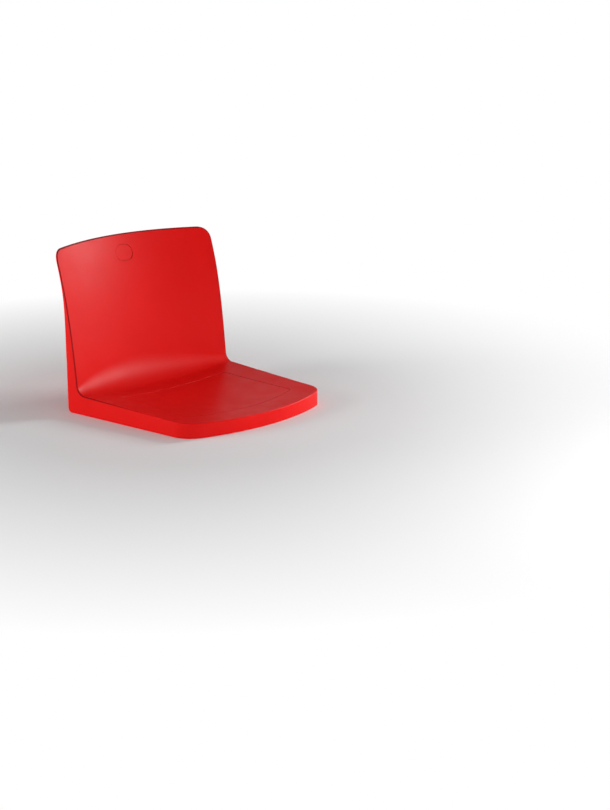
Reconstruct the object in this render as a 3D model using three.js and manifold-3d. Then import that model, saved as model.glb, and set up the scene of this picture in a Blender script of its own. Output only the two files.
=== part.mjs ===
// A fixed stadium seat: a one-piece moulded shell with a lift-off cover in its pan,
// standing on two steel rails that a stand's step carries.
// Millimetres, +Z up, the sitter faces -Y. The origin is on the step, under the middle of the seat.
import * as THREE from "three";
import { mergeVertices } from "three/addons/utils/BufferGeometryUtils.js";
import Module from "manifold-3d";

const wasm = await Module();
wasm.setup();

// Clearances
const seatGap = 0.3; // between two pieces that rest on each other
const trimGap = 0.8; // round the cover and the number plate
const boltGap = 0.5; // round a stud or a clip in its hole
const overrun = 20; // how far a cutting solid runs past what it cuts

// Shell outline, seen from above
const backWidth = 450; // across the rims of the backrest
const frontWidth = 412; // across the front corners
const frontBow = 43; // the middle of the front edge stands this far out
const foldReach = 356; // from the front edge back to the fold, at the rims
const skirtReach = 388; // from the front edge back to the rear edge of the skirt
const frontCorner = 40; // rounding of the front corners

// Shell outline, seen from the side and from the front
const frontHeight = 34; // rim above the step, at the front corners
const foldHeight = 43; // rim above the step, at the fold
const topHeight = 347.8; // rim above the step, at the top corners
const topCrown = 3.2; // the middle of the top edge stands this much higher
const topCorner = 28; // rounding of the top corners
const rimFold = 20; // radius of the fold at the rims
const backLean = 31; // how far the straight part of the back leans over its height
const backSweep = 26.5; // how far the back curls away besides, at the top
const skirtCorner = 10; // rounding of the skirt's lower rear corner
const skirtBlend = 9; // where the skirt's rear edge runs into the back

// Sitting surface between the rims
const frontDip = 4.2; // the middle of the front edge lies this much lower
const foldDip = 11; // the same at the fold
const panDish = 5; // the same half way along the pan, besides
const foldHollow = 40; // the middle of the back lies this much deeper, at the fold
const topHollow = 47.5; // the same at the top edge
const middleFold = 66; // radius of the fold in the middle

// Shell walls
const wall = 4;
const topLip = 4.6; // thickness of the top edge, front to back
const ribWall = 2.6;
const ribFoot = 0.6; // ribs stop this far above the step
const gussetLow = 120; // height of the rear ribs at their free edge
const gussetHigh = 205; // height of the rear ribs against the back
const ribPlaces = [60, 178]; // ribs along the pan, out from the middle
const crossRibPlaces = [62, 166, 274]; // ribs across the pan, back from the front edge

// Pan cover
const coverWidth = 312;
const coverSetback = 64; // from the front edge to the cover's front edge, in the middle
const coverEnd = 300; // from the front edge to the cover's rear edge
const coverCorner = 12;
const coverThickness = 3;
const clipWidth = 10;
const clipThickness = 1.8;
const clipDrop = 6; // how far a clip reaches below the cover
const clipInset = 7; // from the cover's side edge
const clipPlaces = [112, 252]; // back from the front edge

// Number plate
const plateLength = 46;
const plateHeight = 33;
const plateThickness = 1.5;
const plateDrop = 40; // from the top edge to the middle of the plate
const pegRadius = 2;
const pegSpacing = 20;
const pegReach = 5.4; // how far a peg reaches behind the plate

// Fixing rails, hat section, front to back
const railSpacing = 230; // between the two rails' middles
const railLength = 250;
const railSetback = 87; // from the front edge to a rail's front end
const railHeight = 13;
const railTopWidth = 30;
const railFlange = 20;
const railSheet = 2;
const anchorSlotWidth = 9;
const anchorSlotLength = 18;
const anchorSetback = 24; // from a rail's end to the middle of its anchor slot

// Studs welded on the rails, their washers and nuts
const studRadius = 4;
const studPlaces = [132, 252]; // back from the front edge
const studFootRadius = 5; // the welded foot
const studFootHeight = 1.2;
const studProud = 1.3; // how far a stud's tip stands out of its nut
const studChamfer = 0.9;
const washerRadius = 10;
const washerThickness = 1.6;
const nutWidth = 13;
const nutHeight = 4;
const wellRadius = 12.5; // the well a nut is turned in
const wellWall = 3;
const wellFloor = 3.5;

// Facets
const acrossCount = 20;
const panCount = 7;
const foldCount = 7;
const backCount = 9;
const rearCount = 16;
const roundCount = 24;

// Worked out from the sizes above
const halfBack = backWidth / 2;
const halfFront = frontWidth / 2;
const backRise = topHeight - foldHeight;
const seatDepth = rearLine(0, topHeight + topCrown);
const frontY = -seatDepth / 2;
const fromFront = (reach) => frontY + reach;
const railX = railSpacing / 2;
const railTop = railHeight;
const wellBase = railTop + seatGap;
const wellTop = wellBase + wellFloor;
const washerBase = wellTop + seatGap;
const nutBase = washerBase + washerThickness + seatGap;
const nutTop = nutBase + nutHeight;
const recessDepth = coverThickness + seatGap;
const plateRecess = plateThickness + seatGap;
const plateZ = topHeight + topCrown - plateDrop;

const plastic = new THREE.MeshStandardMaterial({ color: 0xd4211d, roughness: 0.38, metalness: 0 });
const coverPlastic = new THREE.MeshStandardMaterial({ color: 0xcf1f1b, roughness: 0.4, metalness: 0 });
const platePlastic = new THREE.MeshStandardMaterial({ color: 0xd6241f, roughness: 0.36, metalness: 0 });
const galvanised = new THREE.MeshStandardMaterial({ color: 0x9aa0a3, roughness: 0.5, metalness: 0.9 });
const zincPlated = new THREE.MeshStandardMaterial({ color: 0xb9bdc2, roughness: 0.35, metalness: 0.95 });

// A closed three.js geometry as a solid
function solid(geometry) {
  const bare = geometry.clone();
  bare.deleteAttribute("normal");
  bare.deleteAttribute("uv");
  const welded = mergeVertices(bare);
  const mesh = new wasm.Mesh({
    numProp: 3,
    vertProperties: welded.getAttribute("position").array,
    triVerts: new Uint32Array(welded.index.array),
  });
  return new wasm.Manifold(mesh);
}

// A solid as a named three.js mesh
function piece(name, made, material) {
  const mesh = made.getMesh();
  const geometry = new THREE.BufferGeometry();
  geometry.setAttribute("position", new THREE.BufferAttribute(mesh.vertProperties, mesh.numProp));
  geometry.setIndex(new THREE.BufferAttribute(mesh.triVerts, 1));
  geometry.computeVertexNormals();
  const result = new THREE.Mesh(geometry, material);
  result.name = name;
  return result;
}

// A value between two others
function mix(a, b, share) {
  return a + (b - a) * share;
}

// Steps from 0 to 1, both ends included
const steps = (count) => Array.from({ length: count + 1 }, (_, i) => i / count);

// The solid between two sheets of points, each a list of rows that run in +X
function between(upper, lower) {
  const rowCount = upper.length;
  const columnCount = upper[0].length;
  const points = [...upper.flat(), ...lower.flat()];
  const lowerStart = rowCount * columnCount;
  const at = (row, column) => row * columnCount + column;
  const faces = [];
  const quad = (a, b, c, d) => faces.push(a, b, c, a, c, d);
  for (let r = 0; r < rowCount - 1; r += 1) {
    for (let c = 0; c < columnCount - 1; c += 1) {
      const corners = [at(r, c), at(r, c + 1), at(r + 1, c + 1), at(r + 1, c)];
      quad(...corners);
      quad(...corners.map((i) => i + lowerStart).reverse());
    }
    const left = [at(r, 0), at(r + 1, 0)];
    const right = [at(r + 1, columnCount - 1), at(r, columnCount - 1)];
    quad(...left, left[1] + lowerStart, left[0] + lowerStart);
    quad(...right, right[1] + lowerStart, right[0] + lowerStart);
  }
  for (let c = 0; c < columnCount - 1; c += 1) {
    const first = [at(0, c + 1), at(0, c)];
    const last = [at(rowCount - 1, c), at(rowCount - 1, c + 1)];
    quad(...first, first[1] + lowerStart, first[0] + lowerStart);
    quad(...last, last[1] + lowerStart, last[0] + lowerStart);
  }
  const geometry = new THREE.BufferGeometry().setFromPoints(points);
  geometry.setIndex(faces);
  return solid(geometry);
}

// An outline drawn in X and Y, standing from one height to another
function upright(shape, low, high) {
  const geometry = new THREE.ExtrudeGeometry(shape, {
    depth: high - low,
    bevelEnabled: false,
    curveSegments: roundCount / 4,
  });
  return solid(geometry.translate(0, 0, low));
}

// An outline drawn in X and Z, running from one Y to another
function fore(shape, near, far) {
  const geometry = new THREE.ExtrudeGeometry(shape, {
    depth: far - near,
    bevelEnabled: false,
    curveSegments: roundCount / 4,
  });
  return solid(geometry.rotateX(Math.PI / 2).translate(0, far, 0));
}

// A box given by its lowest and highest corners
function block(low, high) {
  const size = high.map((value, i) => value - low[i]);
  const centre = high.map((value, i) => (value + low[i]) / 2);
  return solid(new THREE.BoxGeometry(...size).translate(...centre));
}

// An upright round bar
function bar(radius, low, high, x, y) {
  const geometry = new THREE.CylinderGeometry(radius, radius, high - low, roundCount);
  return solid(geometry.rotateX(Math.PI / 2).translate(x, y, (low + high) / 2));
}

// How much of the middle's shape a place across the seat has: 1 in the middle, 0 at the rims
function middleShare(x) {
  return 1 - (x / halfBack) ** 2;
}

// Height of the fold, where pan and back would meet in a corner, at one place across
function foldZ(x) {
  return foldHeight - foldDip * middleShare(x);
}

// How far back the line of the back lies, at one place across and a height above the step
function backLine(x, z) {
  const rise = (z - foldZ(x)) / backRise;
  const hollow = mix(foldHollow, topHollow, rise) * middleShare(x);
  return foldReach + hollow + backLean * rise + backSweep * Math.max(rise, 0) ** 3;
}

// The pan at one place across, a share of the way from the front edge to the fold
function panLine(x, share) {
  const middle = middleShare(x);
  const front = frontHeight - frontDip * middle;
  const dish = panDish * middle * 4 * share * (1 - share);
  return { reach: mix(0, backLine(x, foldZ(x)), share), z: mix(front, foldZ(x), share) - dish };
}

// The share of its tangents at which a quarter bend's handles lie
const bendShare = 0.55;

// The sitting surface's side view at one place across, as points from front to top.
// It runs on past the front edge and past the top edge, where the outlines cut it.
function profile(x) {
  const fold = panLine(x, 1);
  const radius = mix(rimFold, middleFold, middleShare(x));
  const before = panLine(x, 1 - radius / foldReach);
  const panAngle = Math.atan2(fold.z - before.z, fold.reach - before.reach);
  const backAngle = Math.atan2(backRise, backLean);
  const reach = radius * Math.tan((backAngle - panAngle) / 2);
  const panEnd = 1 - reach / fold.reach;
  const start = panLine(x, panEnd);
  const end = { reach: backLine(x, fold.z + reach), z: fold.z + reach };
  const foldBend = new THREE.CubicBezierCurve(
    new THREE.Vector2(start.reach, start.z),
    new THREE.Vector2(mix(start.reach, fold.reach, bendShare), mix(start.z, fold.z, bendShare)),
    new THREE.Vector2(mix(end.reach, fold.reach, bendShare), mix(end.z, fold.z, bendShare)),
    new THREE.Vector2(end.reach, end.z),
  );
  const pan = steps(panCount).map((s) => {
    const place = panLine(x, mix(-overrun / foldReach, panEnd, s));
    return new THREE.Vector2(place.reach, place.z);
  });
  const back = steps(backCount).map((s) => {
    const z = mix(end.z, topHeight + overrun, s);
    return new THREE.Vector2(backLine(x, z), z);
  });
  return [...pan.slice(0, -1), ...foldBend.getPoints(foldCount), ...back.slice(1)];
}

// The sitting surface moved back into the shell by a depth, as rows of points
function sheet(depth) {
  const places = steps(acrossCount).map((s) => mix(-halfBack - overrun / 2, halfBack + overrun / 2, s));
  const lines = places.map((x) => {
    const points = profile(x);
    return points.map((point, i) => {
      const ahead = points[Math.min(i + 1, points.length - 1)];
      const behindIt = points[Math.max(i - 1, 0)];
      const along = ahead.clone().sub(behindIt).normalize();
      return new THREE.Vector3(x, frontY + point.x + along.y * depth, point.y - along.x * depth);
    });
  });
  return lines[0].map((_, row) => lines.map((line) => line[row]));
}

// The layer of the shell between two depths behind the sitting surface
const layer = (near, far) => between(sheet(near), sheet(far));

// All that lies behind and below the sitting surface, from a depth on
const behind = (depth) => layer(depth, depth + skirtReach / 3);

// The shell's outline from above, moved in by a distance
function planOutline(inset) {
  const side = halfFront - inset;
  const rear = halfBack - inset;
  const corner = frontCorner - inset;
  const bow = (x) => frontY + inset + frontBow * (x / halfFront) ** 2;
  const turn = side - corner;
  const slope = (2 * frontBow * turn) / halfFront ** 2;
  const cornerY = bow(turn) + slope * corner;
  const skirtY = fromFront(skirtReach);
  const far = skirtY + skirtReach;
  const shape = new THREE.Shape();
  shape.moveTo(rear + overrun, far);
  shape.lineTo(-rear - overrun, far);
  shape.lineTo(-rear, skirtY);
  shape.lineTo(-side, cornerY + corner);
  shape.quadraticCurveTo(-side, cornerY, -turn, bow(turn));
  shape.quadraticCurveTo(0, bow(turn) - slope * turn, turn, bow(turn));
  shape.quadraticCurveTo(side, cornerY, side, cornerY + corner);
  shape.lineTo(rear, skirtY);
  return shape;
}

// The shell's outline from the front, moved in by one distance at the sides and one at the top
function frontOutline(inset, down) {
  const side = halfBack - inset;
  const corner = topCorner - inset;
  const top = (x) => topHeight - down + topCrown * middleShare(x);
  const turn = side - corner;
  const slope = (2 * topCrown * turn) / halfBack ** 2;
  const cornerZ = top(turn) - slope * corner;
  const shape = new THREE.Shape();
  shape.moveTo(-side, -overrun);
  shape.lineTo(side, -overrun);
  shape.lineTo(side, cornerZ - corner);
  shape.quadraticCurveTo(side, cornerZ, turn, top(turn));
  shape.quadraticCurveTo(0, top(turn) + slope * turn, -turn, top(turn));
  shape.quadraticCurveTo(-side, cornerZ, -side, cornerZ - corner);
  return shape;
}

// The rear edge of the skirt and of the rims, at a height above the step
function rearLine(x, z) {
  const rims = backLine(x, z) + topLip;
  const skirt = skirtReach + foldHollow * middleShare(x);
  const edge = (rims + skirt + Math.sqrt((rims - skirt) ** 2 + skirtBlend ** 2)) / 2;
  const low = Math.min(Math.max(skirtCorner - z, 0), skirtCorner);
  return edge - skirtCorner + Math.sqrt(skirtCorner ** 2 - low ** 2);
}

// All that lies in front of that edge
function beforeRear() {
  const top = topHeight + overrun;
  const lowRows = steps(foldCount).map((s) => skirtCorner * s ** 2);
  const highRows = steps(rearCount).map((s) => mix(skirtCorner, top, s));
  const heights = [-overrun, ...lowRows, ...highRows.slice(1)];
  const places = steps(acrossCount).map((s) => mix(-halfBack - overrun, halfBack + overrun, s));
  const rear = heights.map((z) => places.map((x) => new THREE.Vector3(x, fromFront(rearLine(x, z)), z)));
  const front = heights.map((z) => places.map((x) => new THREE.Vector3(x, frontY - overrun, z)));
  return between(front, rear);
}

// The cover's outline, grown by a distance
function coverOutline(grow) {
  const side = coverWidth / 2 + grow;
  const rear = fromFront(coverEnd) + grow;
  const bow = (x) => fromFront(coverSetback) - grow + frontBow * (x / halfFront) ** 2;
  const turn = side - coverCorner;
  const slope = (2 * frontBow * turn) / halfFront ** 2;
  const cornerY = bow(turn) + slope * coverCorner;
  const shape = new THREE.Shape();
  shape.moveTo(turn, rear);
  shape.lineTo(-turn, rear);
  shape.quadraticCurveTo(-side, rear, -side, rear - coverCorner);
  shape.lineTo(-side, cornerY + coverCorner);
  shape.quadraticCurveTo(-side, cornerY, -turn, bow(turn));
  shape.quadraticCurveTo(0, bow(turn) - slope * turn, turn, bow(turn));
  shape.quadraticCurveTo(side, cornerY, side, cornerY + coverCorner);
  shape.lineTo(side, rear - coverCorner);
  shape.quadraticCurveTo(side, rear, turn, rear);
  return shape;
}

// The number plate's outline, grown by a distance
function plateOutline(grow) {
  const radius = plateHeight / 2 + grow;
  const straight = (plateLength - plateHeight) / 2;
  const shape = new THREE.Shape();
  shape.absarc(straight, plateZ, radius, -Math.PI / 2, Math.PI / 2);
  shape.absarc(-straight, plateZ, radius, Math.PI / 2, Math.PI * 1.5);
  return shape;
}

// A hexagonal prism, by its width across the flats
function hexagon(width, low, high, x, y) {
  const geometry = new THREE.CylinderGeometry(width / Math.sqrt(3), width / Math.sqrt(3), high - low, 6);
  return solid(geometry.rotateX(Math.PI / 2).translate(x, y, (low + high) / 2));
}

// Places of the fixings: two on each rail
const fixings = [-railX, railX].flatMap((x) => studPlaces.map((reach) => ({ x, y: fromFront(reach) })));
const fixingNames = ["front_left", "rear_left", "front_right", "rear_right"];

// Places of the cover's clips
const clipX = coverWidth / 2 - clipInset;
const clips = [-clipX, clipX].flatMap((x) => clipPlaces.map((reach) => ({ x, y: fromFront(reach) })));

// The shell without its ribs: the outer form less the hollow behind and below it
function bareShell(outer) {
  const top = topHeight + overrun;
  const hollow = behind(wall)
    .intersect(upright(planOutline(wall), -overrun, top))
    .intersect(fore(frontOutline(wall, wall), frontY, seatDepth));
  return outer.subtract(hollow);
}

// The full form that the ribs fill: between the sitting surface, the rims' rear edge and the step
function outerForm() {
  return behind(0)
    .intersect(upright(planOutline(0), 0, topHeight + overrun))
    .intersect(fore(frontOutline(0, 0), frontY - overrun, seatDepth))
    .intersect(beforeRear());
}

// Ribs along the pan, which run on up the back as gussets
function alongRibs() {
  const shape = new THREE.Shape();
  const front = fromFront(wall / 2);
  const rear = fromFront(skirtReach + foldHollow);
  shape.moveTo(ribFoot, front);
  shape.lineTo(ribFoot, rear);
  shape.lineTo(gussetLow, rear);
  shape.lineTo(gussetHigh, fromFront(foldReach));
  shape.lineTo(gussetHigh, front);
  const made = [0, ...ribPlaces, ...ribPlaces.map((x) => -x)].map((x) => {
    const geometry = new THREE.ExtrudeGeometry(shape, { depth: ribWall, bevelEnabled: false });
    return solid(geometry.rotateY(-Math.PI / 2).translate(x + ribWall / 2, 0, 0));
  });
  return made.reduce((all, one) => all.add(one));
}

// Ribs across the pan, from side wall to side wall
function crossRibs() {
  const made = crossRibPlaces.map((reach) => {
    const y = fromFront(reach);
    return block([-halfBack, y, ribFoot], [halfBack, y + ribWall, foldHeight]);
  });
  return made.reduce((all, one) => all.add(one));
}

// The room that a rail takes under the pan
function railRoom(x) {
  const half = railTopWidth / 2 + railFlange + trimGap;
  const near = fromFront(railSetback) - trimGap;
  const far = fromFront(railSetback + railLength) + trimGap;
  return block([x - half, near, -overrun], [x + half, far, wellBase]);
}

function seatShell() {
  const outer = outerForm();
  const underCover = behind(recessDepth);
  const ribs = alongRibs().add(crossRibs()).intersect(outer);
  const wells = fixings
    .map(({ x, y }) => bar(wellRadius + wellWall, wellBase, foldHeight, x, y))
    .reduce((all, one) => all.add(one));
  const floorPad = layer(recessDepth, recessDepth + wall)
    .intersect(upright(coverOutline(trimGap + wall), 0, foldHeight));
  let shell = bareShell(outer).add(ribs).add(wells.intersect(outer)).add(floorPad);
  shell = shell.subtract(railRoom(-railX)).subtract(railRoom(railX));
  const recess = upright(coverOutline(trimGap), 0, foldHeight + overrun).subtract(underCover);
  shell = shell.subtract(recess);
  for (const { x, y } of fixings) {
    shell = shell.subtract(bar(wellRadius, wellTop, foldHeight, x, y));
    shell = shell.subtract(bar(studFootRadius + boltGap, -overrun, wellTop + overrun / 2, x, y));
  }
  for (const { x, y } of clips) {
    const halfWidth = clipWidth / 2 + boltGap;
    const halfThick = clipThickness / 2 + boltGap;
    const low = [x - halfThick, y - halfWidth, wellBase];
    shell = shell.subtract(block(low, [x + halfThick, y + halfWidth, foldHeight]));
  }
  const plateRoom = fore(plateOutline(trimGap), fromFront(foldReach), seatDepth)
    .subtract(behind(plateRecess));
  shell = shell.subtract(plateRoom);
  for (const peg of pegs(pegRadius + boltGap / 2)) shell = shell.subtract(peg);
  return shell;
}

// The number plate's two pegs, running straight back
function pegs(radius) {
  const surface = fromFront(backLine(0, plateZ));
  return [-pegSpacing / 2, pegSpacing / 2].map((x) => {
    const near = surface + plateThickness / 2;
    const far = surface + plateThickness + pegReach;
    const geometry = new THREE.CylinderGeometry(radius, radius, far - near, roundCount / 2);
    return solid(geometry.translate(x, (near + far) / 2, plateZ));
  });
}

function numberPlate() {
  const plate = layer(0, plateThickness)
    .intersect(fore(plateOutline(0), fromFront(foldReach), seatDepth));
  return pegs(pegRadius).reduce((all, one) => all.add(one), plate);
}

function panCover() {
  const plate = layer(0, coverThickness)
    .intersect(upright(coverOutline(0), 0, foldHeight + overrun));
  const prongs = clips.map(({ x, y }) => {
    const surface = panLine(x, (y - frontY) / backLine(x, foldZ(x))).z;
    const low = [x - clipThickness / 2, y - clipWidth / 2, surface - coverThickness - clipDrop];
    return block(low, [x + clipThickness / 2, y + clipWidth / 2, surface - coverThickness / 2]);
  });
  return prongs.reduce((all, one) => all.add(one), plate);
}

// One rail: a hat section with anchor slots in its flanges
function fixingRail(x) {
  const foot = railTopWidth / 2 + railFlange;
  const top = railTopWidth / 2;
  const shape = new THREE.Shape();
  shape.moveTo(x - foot, 0);
  shape.lineTo(x - top + railSheet, 0);
  shape.lineTo(x - top + railSheet, railTop - railSheet);
  shape.lineTo(x + top - railSheet, railTop - railSheet);
  shape.lineTo(x + top - railSheet, 0);
  shape.lineTo(x + foot, 0);
  shape.lineTo(x + foot, railSheet);
  shape.lineTo(x + top, railSheet);
  shape.lineTo(x + top, railTop);
  shape.lineTo(x - top, railTop);
  shape.lineTo(x - top, railSheet);
  shape.lineTo(x - foot, railSheet);
  let rail = fore(shape, fromFront(railSetback), fromFront(railSetback + railLength));
  const slotX = top + railFlange / 2;
  for (const side of [-slotX, slotX]) {
    for (const end of [anchorSetback, railLength - anchorSetback]) {
      rail = rail.subtract(anchorSlot(x + side, fromFront(railSetback + end)));
    }
  }
  return rail;
}

function anchorSlot(x, y) {
  const radius = anchorSlotWidth / 2;
  const straight = (anchorSlotLength - anchorSlotWidth) / 2;
  const shape = new THREE.Shape();
  shape.absarc(x, y + straight, radius, 0, Math.PI);
  shape.absarc(x, y - straight, radius, Math.PI, Math.PI * 2);
  return upright(shape, -overrun, overrun);
}

// A stud standing on the rail, up through well floor, washer and nut
function stud(x, y) {
  const base = railTop + seatGap;
  const tip = nutTop + studProud;
  const outline = [
    [0, base],
    [studFootRadius, base],
    [studFootRadius, base + studFootHeight],
    [studRadius, base + studFootHeight],
    [studRadius, tip - studChamfer],
    [studRadius - studChamfer, tip],
    [0, tip],
  ].map(([r, z]) => new THREE.Vector2(r, z));
  return solid(new THREE.LatheGeometry(outline, roundCount).rotateX(Math.PI / 2).translate(x, y, 0));
}

function washer(x, y) {
  const ring = bar(washerRadius, washerBase, washerBase + washerThickness, x, y);
  return ring.subtract(bar(studRadius + seatGap, 0, foldHeight, x, y));
}

function nut(x, y) {
  const body = hexagon(nutWidth, nutBase, nutTop, x, y);
  return body.subtract(bar(studRadius + seatGap, 0, foldHeight, x, y));
}

const seat = new THREE.Group();
seat.add(piece("seat_shell", seatShell(), plastic));
seat.add(piece("pan_cover", panCover(), coverPlastic));
seat.add(piece("number_plate", numberPlate(), platePlastic));
seat.add(piece("left_fixing_rail", fixingRail(-railX), galvanised));
seat.add(piece("right_fixing_rail", fixingRail(railX), galvanised));
fixings.forEach(({ x, y }, i) => {
  seat.add(piece(`seat_stud_${fixingNames[i]}`, stud(x, y), zincPlated));
  seat.add(piece(`stud_washer_${fixingNames[i]}`, washer(x, y), zincPlated));
  seat.add(piece(`stud_nut_${fixingNames[i]}`, nut(x, y), zincPlated));
});

export default seat;
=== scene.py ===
import math

import bmesh
import bpy
import numpy as np
from mathutils import Matrix, Vector
from mathutils.kdtree import KDTree


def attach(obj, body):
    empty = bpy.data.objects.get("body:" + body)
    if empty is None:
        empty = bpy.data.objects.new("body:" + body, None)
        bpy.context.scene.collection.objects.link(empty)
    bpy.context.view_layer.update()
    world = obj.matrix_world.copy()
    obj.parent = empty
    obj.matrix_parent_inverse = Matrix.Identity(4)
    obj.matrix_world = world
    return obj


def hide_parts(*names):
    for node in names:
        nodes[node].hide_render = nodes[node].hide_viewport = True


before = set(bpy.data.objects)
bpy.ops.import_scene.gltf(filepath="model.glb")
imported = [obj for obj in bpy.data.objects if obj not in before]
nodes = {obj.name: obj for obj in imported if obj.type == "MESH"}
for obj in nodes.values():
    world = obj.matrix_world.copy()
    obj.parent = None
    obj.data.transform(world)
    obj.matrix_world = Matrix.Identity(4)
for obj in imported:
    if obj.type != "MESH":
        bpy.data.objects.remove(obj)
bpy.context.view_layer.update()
mm = 0.001
nearZero = 1e-12
print("frame loaded:", len(nodes), "nodes")

# The moulding's own sizes in mm, the same as in the solids
form = {
    "backWidth": 450, "frontWidth": 412, "frontBow": 43, "foldReach": 356, "skirtReach": 388,
    "frontCorner": 40, "frontHeight": 34, "foldHeight": 43, "topHeight": 347.8, "topCrown": 3.2,
    "topCorner": 28, "rimFold": 20, "backLean": 31, "backSweep": 26.5, "skirtCorner": 10,
    "skirtBlend": 9, "frontDip": 4.2, "foldDip": 11, "panDish": 5, "foldHollow": 40,
    "topHollow": 47.5, "middleFold": 66, "topLip": 4.6, "bendShare": 0.55,
}

halfBack = form["backWidth"] / 2
halfFront = form["frontWidth"] / 2
backRise = form["topHeight"] - form["foldHeight"]


# how much of the middle's shape a place across has: 1 in the middle, 0 at the rims
def middleShare(x):
    return 1 - (x / halfBack) ** 2


def foldHeightAt(x):
    return form["foldHeight"] - form["foldDip"] * middleShare(x)


def backLine(x, z):
    rise = (z - foldHeightAt(x)) / backRise
    hollow = form["foldHollow"] + (form["topHollow"] - form["foldHollow"]) * rise
    sweep = form["backSweep"] * np.maximum(rise, 0) ** 3
    return form["foldReach"] + hollow * middleShare(x) + form["backLean"] * rise + sweep


def panLine(x, share):
    middle = middleShare(x)
    front = form["frontHeight"] - form["frontDip"] * middle
    dish = form["panDish"] * middle * 4 * share * (1 - share)
    z = front + (foldHeightAt(x) - front) * share - dish
    return backLine(x, foldHeightAt(x)) * share, z


# the share of the pan where the fold's bend starts, and the height where it ends
def foldEnds(x):
    radius = form["rimFold"] + (form["middleFold"] - form["rimFold"]) * middleShare(x)
    foldReach = backLine(x, foldHeightAt(x))
    beforeReach, beforeZ = panLine(x, 1 - radius / form["foldReach"])
    panAngle = np.arctan2(foldHeightAt(x) - beforeZ, foldReach - beforeReach)
    backAngle = math.atan2(backRise, form["backLean"])
    leg = radius * np.tan((backAngle - panAngle) / 2)
    return 1 - leg / foldReach, foldHeightAt(x) + leg


# a point of the sitting surface: along runs 0-1 on the pan, 1-2 in the fold, 2-3 up the back
def sitting(x, along):
    x, along = np.broadcast_arrays(np.asarray(x, float), np.asarray(along, float))
    panEnd, bendTop = foldEnds(x)
    panReach, panZ = panLine(x, np.minimum(along, 1) * panEnd)
    startReach, startZ = panLine(x, panEnd)
    cornerReach, cornerZ = backLine(x, foldHeightAt(x)), foldHeightAt(x)
    endReach = backLine(x, bendTop)
    t = np.clip(along - 1, 0, 1)
    hold = form["bendShare"]

    def bend(a, b, c):
        b1, b2 = a + (b - a) * hold, c + (b - c) * hold
        return (1 - t) ** 3 * a + 3 * (1 - t) ** 2 * t * b1 + 3 * (1 - t) * t ** 2 * b2 + t ** 3 * c

    backZ = bendTop + (form["topHeight"] - bendTop) * (along - 2)
    reach = np.where(along < 1, panReach, np.where(along < 2, bend(startReach, cornerReach, endReach),
                                                   backLine(x, backZ)))
    z = np.where(along < 1, panZ, np.where(along < 2, bend(startZ, cornerZ, bendTop), backZ))
    return np.stack([x, reach + frontY, z], -1)


def alongFromReach(x, reach):
    return reach / backLine(x, foldHeightAt(x)) / foldEnds(x)[0]


def alongFromHeight(x, z):
    bendTop = foldEnds(x)[1]
    return 2 + (z - bendTop) / (form["topHeight"] - bendTop)


# the rear edge of the skirt and of the rims, at a height above the step
def rearLine(x, z):
    rims = backLine(x, z) + form["topLip"]
    skirt = form["skirtReach"] + form["foldHollow"] * middleShare(x)
    edge = (rims + skirt + np.sqrt((rims - skirt) ** 2 + form["skirtBlend"] ** 2)) / 2
    low = np.clip(form["skirtCorner"] - z, 0, form["skirtCorner"])
    return edge - form["skirtCorner"] + np.sqrt(form["skirtCorner"] ** 2 - low ** 2)


# the whole depth, and the front edge's Y with the seat's middle at the origin
seatDepth = float(rearLine(0.0, form["topHeight"] + form["topCrown"]))
frontY = -seatDepth / 2


def unit(v):
    return v / np.maximum(np.linalg.norm(v, axis=-1, keepdims=True), nearZero)


def dot(v, w):
    return (v * w).sum(-1)


# the surface's two directions and its outward side
def surfaceFrame(x, along):
    stepX, stepAlong = 0.25, 0.002
    across = (sitting(x + stepX, along) - sitting(x - stepX, along)) / (2 * stepX)
    onward = (sitting(x, along + stepAlong) - sitting(x, along - stepAlong)) / (2 * stepAlong)
    return across, onward, unit(np.cross(across, onward))


# points of the sitting surface, moved back into the moulding by a depth
def behind(x, along, depth):
    return sitting(x, along) - surfaceFrame(x, along)[2] * np.asarray(depth)[..., None]


# how finely the moulding is meshed, and the roundings of its edges in mm
mesher = {
    "columns": 88, "rows": 150, "cornerSteps": 20, "edgePoints": 60, "sidePoints": 600, "fitRounds": 6,
    "bendWeight": 40, "wall": 4, "rimRound": 2.6, "edgeRound": 1.1, "innerRound": 0.8, "handle": 0.55,
    "rimSteps": 5, "skirtSteps": 9, "edgeSteps": 3, "innerSteps": 2, "wallSteps": 6,
    "wellSegments": 48, "holeSegments": 32, "sharpAngle": 35,
}


# a line of points spaced out again: even steps, closer where the line bends
def spread(places, count):
    points = sitting(places[:, 0], places[:, 1])
    steps = np.diff(points, axis=0)
    turn = np.zeros(len(steps))
    turn[1:] = np.arccos(np.clip(dot(unit(steps)[1:], unit(steps)[:-1]), -1, 1))
    weight = np.concatenate([[0], np.cumsum(np.linalg.norm(steps, axis=1) + mesher["bendWeight"] * turn)])
    wanted = np.linspace(0, weight[-1], count + 1)
    return np.stack([np.interp(wanted, weight, places[:, k]) for k in range(2)], -1)


# a round corner from a to c, drawn towards b
def quadratic(a, b, c, t):
    a, b, c, t = np.array(a, float), np.array(b, float), np.array(c, float), np.asarray(t)[:, None]
    return (1 - t) ** 2 * a + 2 * (1 - t) * t * b + t ** 2 * c


# the moulding's outline from above: half width at a reach
cornerTurn = halfFront - form["frontCorner"]
cornerStart = form["frontBow"] * (cornerTurn / halfFront) ** 2
cornerReach = cornerStart + 2 * form["frontBow"] * cornerTurn / halfFront ** 2 * form["frontCorner"]
sideStart = cornerReach + form["frontCorner"]
cornerShares = np.linspace(0, 1, 2 * mesher["cornerSteps"] + 1)
cornerLine = quadratic((cornerTurn, cornerStart), (halfFront, cornerReach), (halfFront, sideStart),
                       cornerShares)


def halfWidthAt(reach):
    return np.interp(reach, [*cornerLine[:, 1], form["skirtReach"]], [*cornerLine[:, 0], halfBack])


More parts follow.
